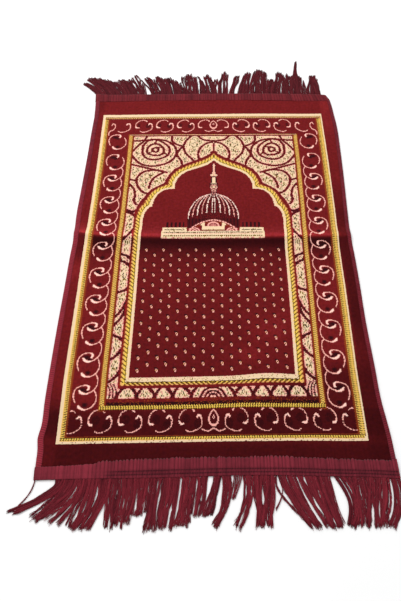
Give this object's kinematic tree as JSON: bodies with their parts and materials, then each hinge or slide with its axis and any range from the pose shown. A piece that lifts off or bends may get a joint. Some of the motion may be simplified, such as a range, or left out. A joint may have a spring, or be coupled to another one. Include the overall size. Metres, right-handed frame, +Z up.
{
  "type": "prayer rug",
  "caption": "Velvet prayer rug lying flat, with a crosswise fold crease, overcast long sides and a stitched heading with knotless fringe at each end.",
  "frame": {"origin": "on the floor at the flat underside, under the middle of the woven border", "axes": "+X across the rug, +Y along it towards the end that its arch points to, +Z up out of the pile"},
  "size_m": [0.7014, 1.2528, 0.0099],
  "materials": {
    "velvet_pile": "short cut velvet pile, maroon, with a woven border, spandrels, arch and dotted field in cream, gold, pink and olive",
    "overcast_yarn": "maroon overcasting yarn, ribbed",
    "heading_yarn": "maroon whip-stitched heading and loose fringe yarn"
  },
  "bodies": {
    "root": {"velvet_cloth": "velvet_pile", "left_overcast_binding": "overcast_yarn", "right_overcast_binding": "overcast_yarn", "near_fringed_heading": "heading_yarn", "far_fringed_heading": "heading_yarn"}
  },
  "joints": []
}
